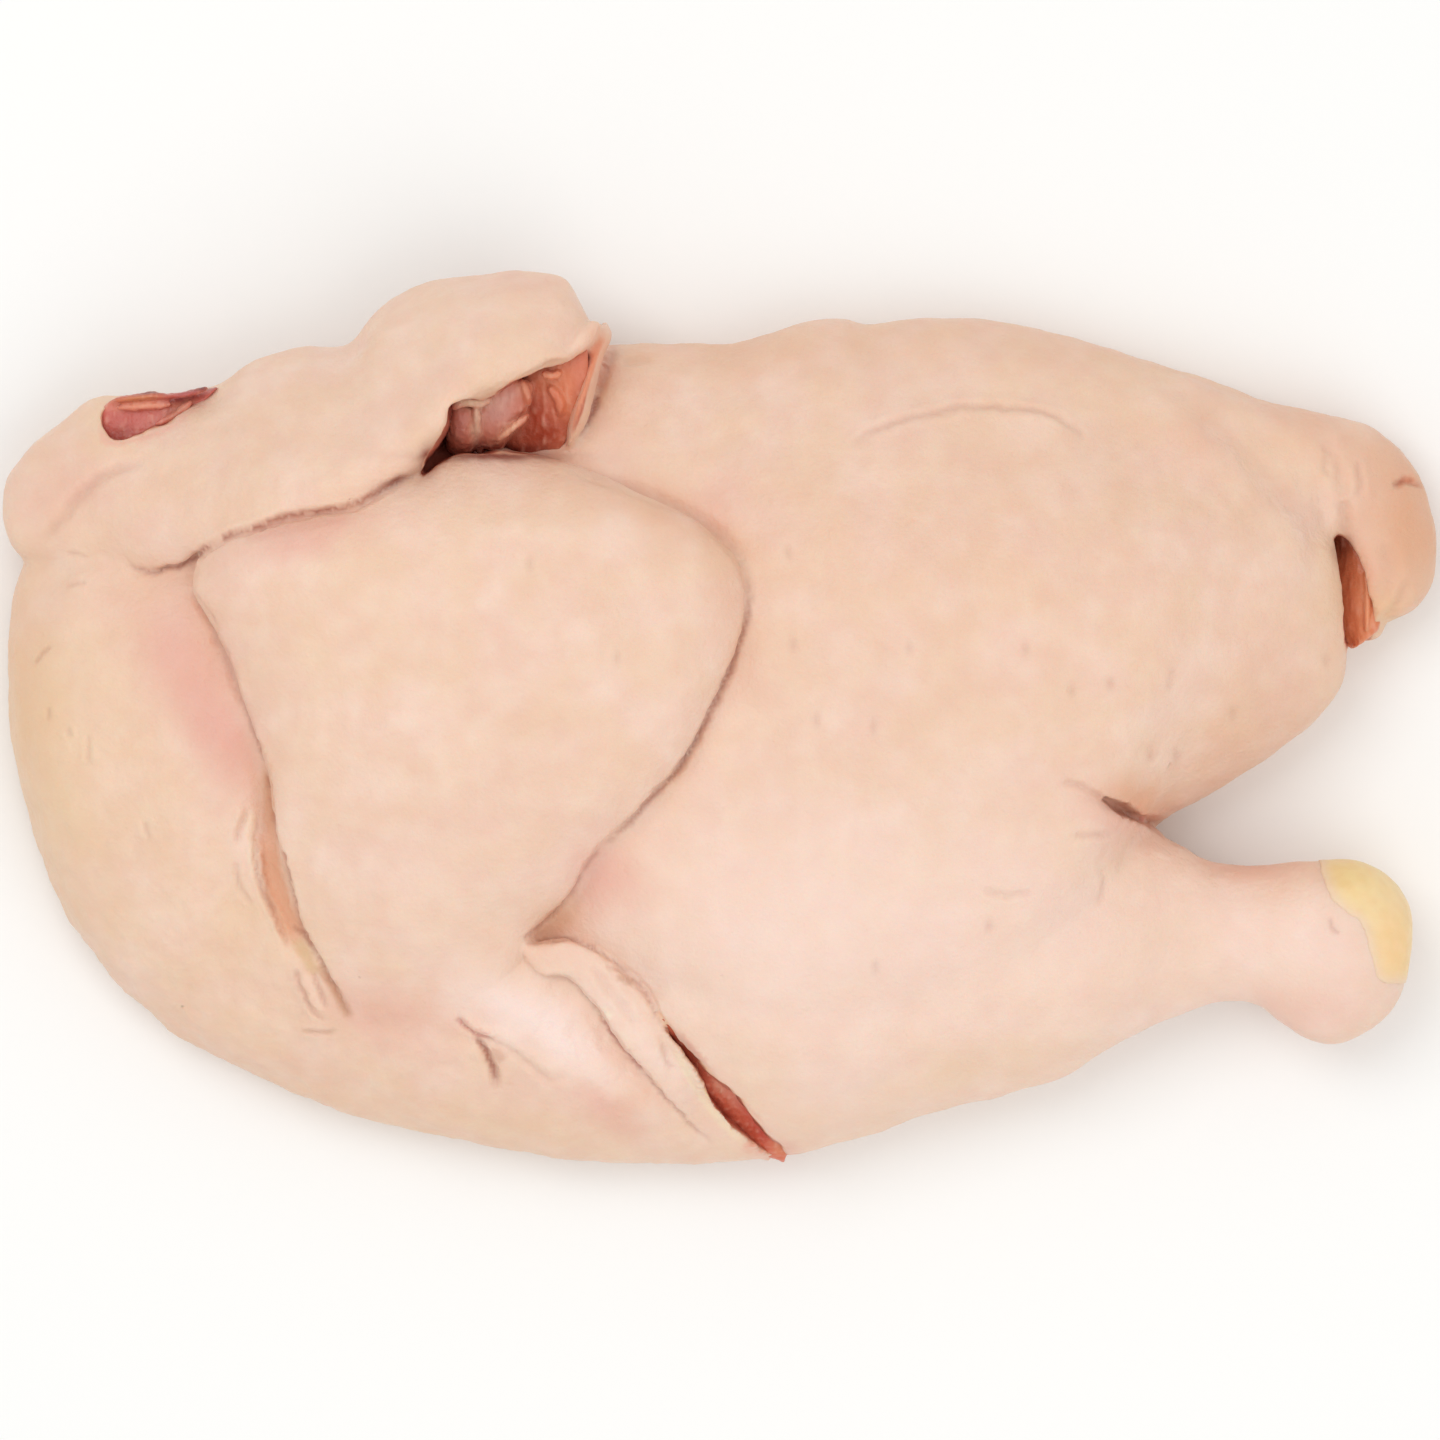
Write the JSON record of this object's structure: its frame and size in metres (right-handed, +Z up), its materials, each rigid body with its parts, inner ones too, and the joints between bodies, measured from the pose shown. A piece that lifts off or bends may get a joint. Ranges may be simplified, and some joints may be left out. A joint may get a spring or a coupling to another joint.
{
  "type": "raw half chicken",
  "caption": "Raw half chicken lying on its cut side, skin up, with folded wing, breast, thigh, drumstick with bare yellow shank end, and tail.",
  "frame": {"origin": "centre of the bounding box in plan, on the surface that the cut side rests on", "axes": "+X from the neck end to the drumstick and tail, +Y towards the backbone, +Z up out of the skin side"},
  "size_m": [0.2798, 0.1744, 0.0581],
  "materials": {
    "skin": "moist satin, raw poultry skin",
    "meat": "moist, raw poultry meat",
    "shank_cap": "satin, yellow foot skin"
  },
  "bodies": {
    "root": {"skin": "skin", "meat": "meat", "shank_cap": "shank_cap"}
  },
  "joints": []
}
